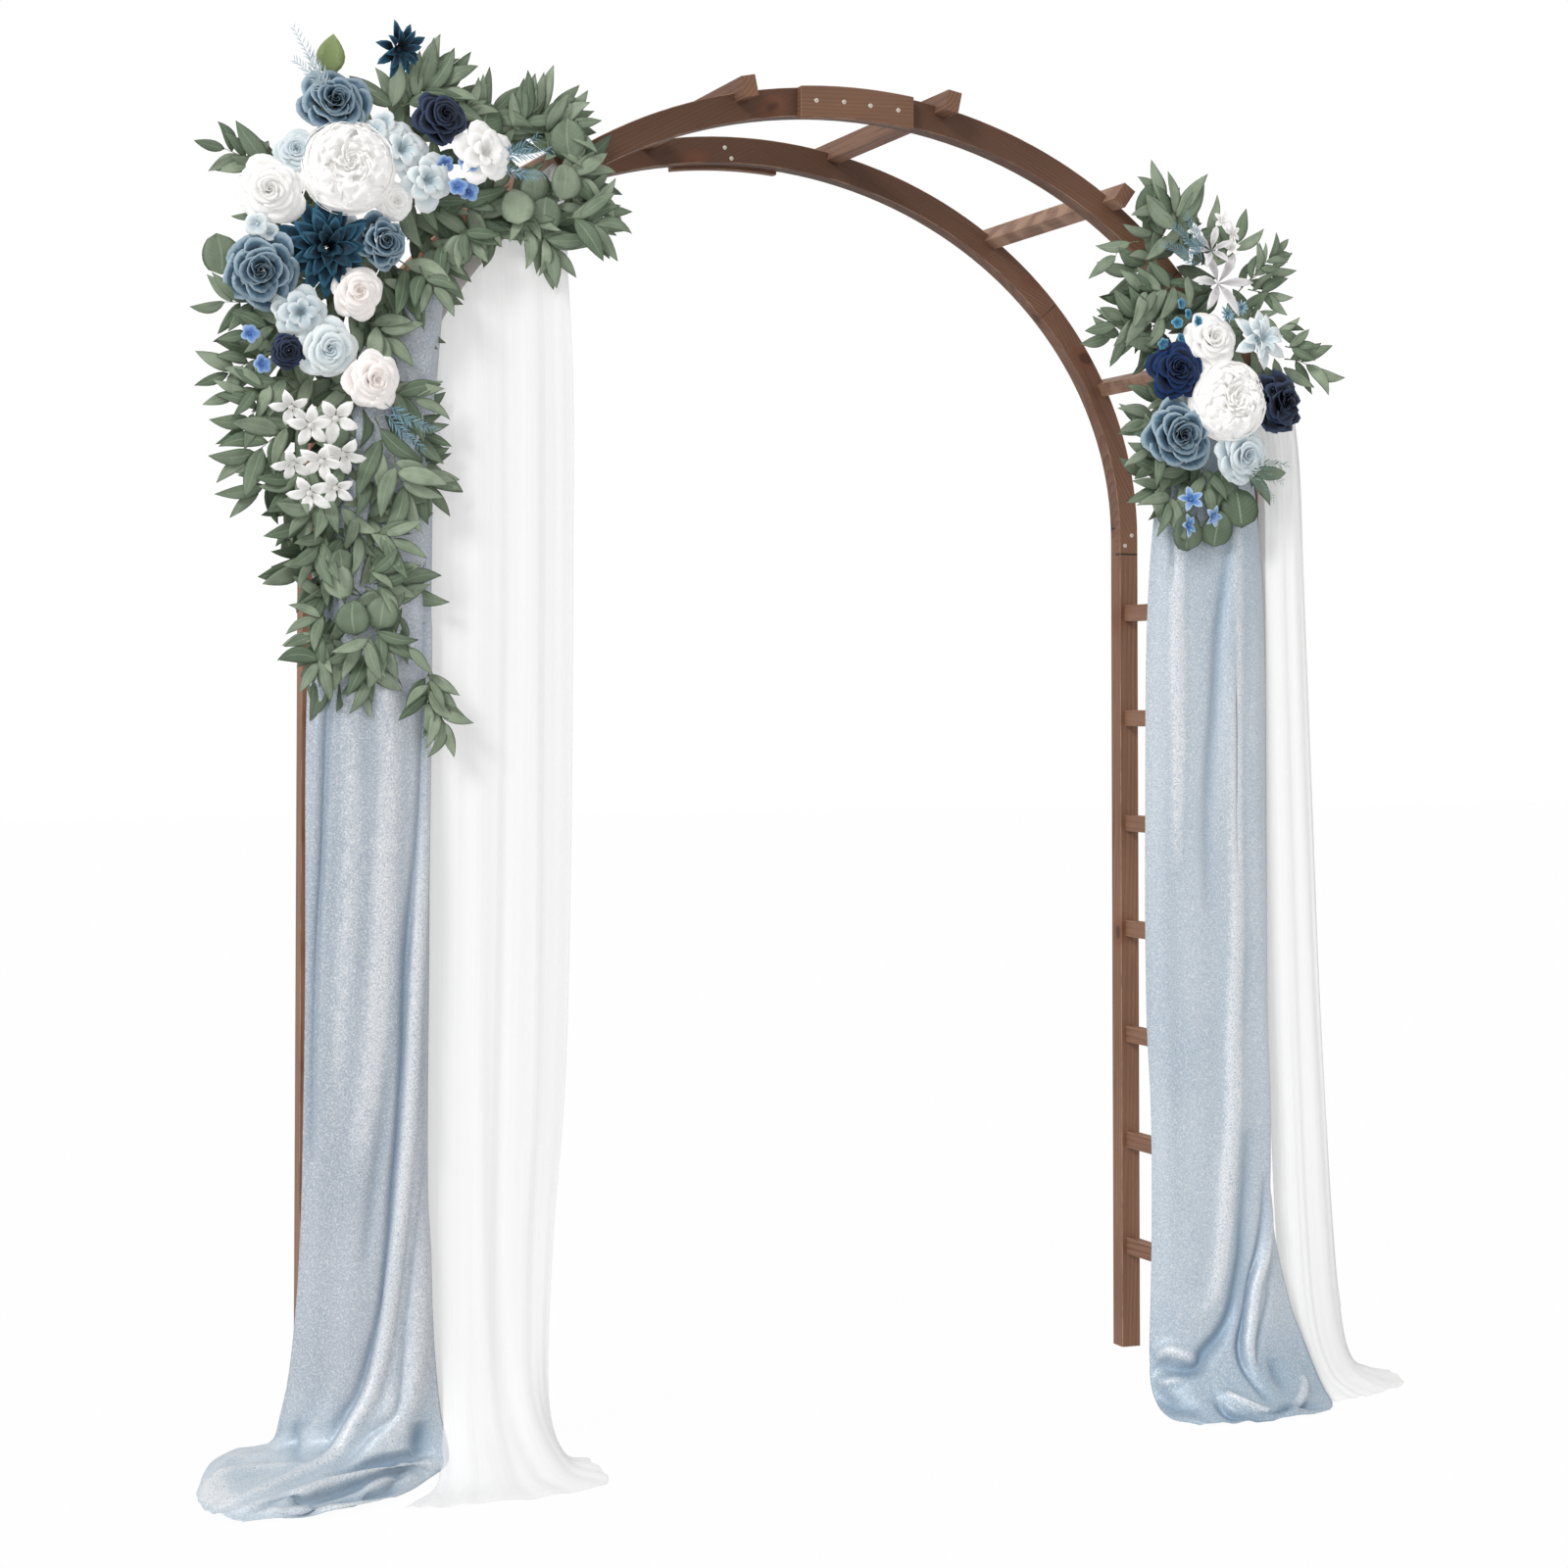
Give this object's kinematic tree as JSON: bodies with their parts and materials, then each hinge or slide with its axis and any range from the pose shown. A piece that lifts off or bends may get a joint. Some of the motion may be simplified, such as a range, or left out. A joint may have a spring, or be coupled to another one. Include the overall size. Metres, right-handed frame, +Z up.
{
  "type": "wedding arch",
  "caption": "Free-standing timber wedding arch: curved ribs on ladder-sided posts, hung with satin and sheer drapes and two swags of artificial flowers.",
  "frame": {"origin": "on the floor at the middle of the whole arch's box, drapes and batten ends included", "axes": "+Z up, +Y from the dressed front towards the bare rear arch, +X to the right seen from the front"},
  "size_m": [2.2007, 0.763, 2.2623],
  "materials": {
    "stained_pine": "brown stain, matte, grain and knots showing",
    "blue_satin": "pale steel-blue shimmer satin",
    "white_sheer": "white sheer voile, finely pleated",
    "leaves": "grey-green artificial eucalyptus leaves",
    "white_petals": "matte white foam and silk petals",
    "blue_petals": "matte foam petals from navy to pale blue",
    "teal_petals": "deep teal silk petals"
  },
  "bodies": {
    "root": {"front_left_post": "stained_pine", "front_right_post": "stained_pine", "rear_left_post": "stained_pine", "rear_right_post": "stained_pine", "front_left_rib": "stained_pine", "front_right_rib": "stained_pine", "rear_left_rib": "stained_pine", "rear_right_rib": "stained_pine", "front_splice_plate": "stained_pine", "rear_splice_plate": "stained_pine", "left_rung_1": "stained_pine", "left_rung_2": "stained_pine", "left_rung_3": "stained_pine", "left_rung_4": "stained_pine", "left_rung_5": "stained_pine", "left_rung_6": "stained_pine", "left_rung_7": "stained_pine", "right_rung_1": "stained_pine", "right_rung_2": "stained_pine", "right_rung_3": "stained_pine", "right_rung_4": "stained_pine", "right_rung_5": "stained_pine", "right_rung_6": "stained_pine", "right_rung_7": "stained_pine", "arch_batten_1": "stained_pine", "arch_batten_2": "stained_pine", "arch_batten_3": "stained_pine", "arch_batten_4": "stained_pine", "arch_batten_5": "stained_pine", "arch_batten_6": "stained_pine", "left_satin_drape": "blue_satin", "left_sheer_drape": "white_sheer", "left_swag_foliage": "leaves", "left_peony": "white_petals", "left_roses": "blue_petals", "right_satin_drape": "blue_satin", "right_sheer_drape": "white_sheer", "right_swag_foliage": "leaves", "right_peony": "white_petals", "right_roses": "blue_petals", "left_dahlia": "teal_petals"}
  },
  "joints": []
}
